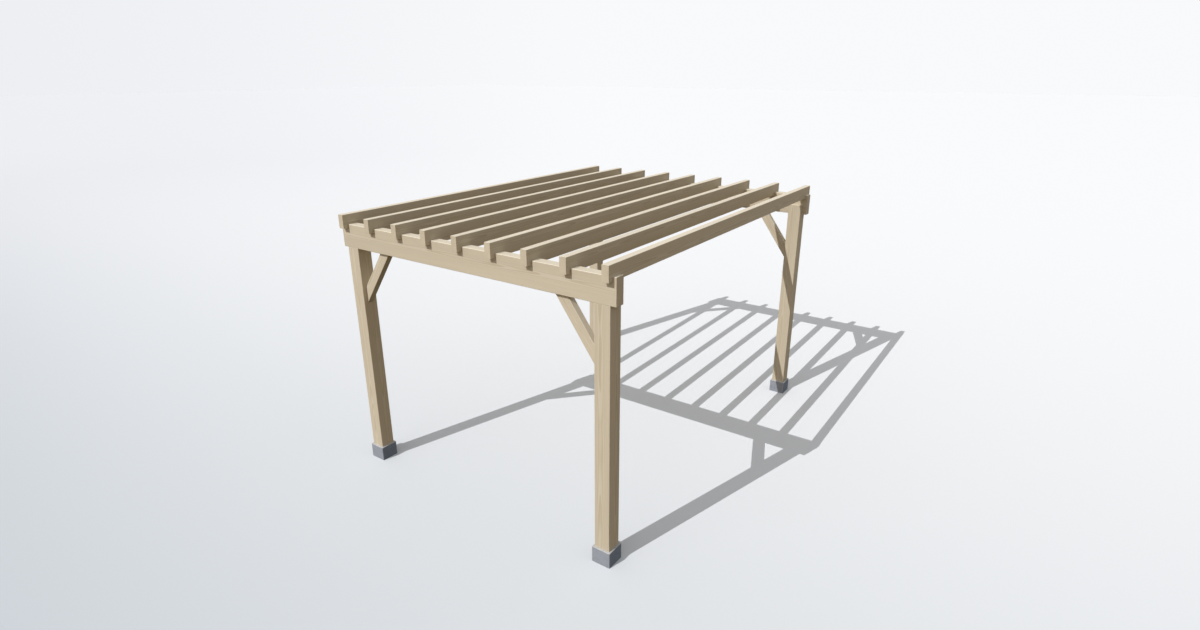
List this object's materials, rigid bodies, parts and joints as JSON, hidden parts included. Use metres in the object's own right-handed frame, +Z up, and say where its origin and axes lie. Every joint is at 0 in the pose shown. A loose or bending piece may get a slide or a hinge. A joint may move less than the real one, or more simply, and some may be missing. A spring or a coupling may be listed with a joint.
{
  "type": "pergola",
  "caption": "Free-standing timber pergola: four braced posts on concrete footings carry two notched beams and a row of open rafters.",
  "frame": {"origin": "on the ground, in the middle of the four posts: the bottom centre of the whole part", "axes": "+X to the right along the two beams, +Y from front to back along the rafters, +Z up"},
  "size_m": [3, 4, 2.5],
  "materials": {
    "timber": "planed, weathered to a pale tan, unvarnished",
    "concrete": "cast concrete, fine pores, eased edges"
  },
  "bodies": {
    "root": {"footing_front_left": "concrete", "post_front_left": "timber", "brace_front_left": "timber", "footing_front_right": "concrete", "post_front_right": "timber", "brace_front_right": "timber", "footing_back_left": "concrete", "post_back_left": "timber", "brace_back_left": "timber", "footing_back_right": "concrete", "post_back_right": "timber", "brace_back_right": "timber", "beam_front": "timber", "beam_back": "timber", "rafter_1": "timber", "rafter_2": "timber", "rafter_3": "timber", "rafter_4": "timber", "rafter_5": "timber", "rafter_6": "timber", "rafter_7": "timber", "rafter_8": "timber", "rafter_9": "timber"}
  },
  "joints": []
}
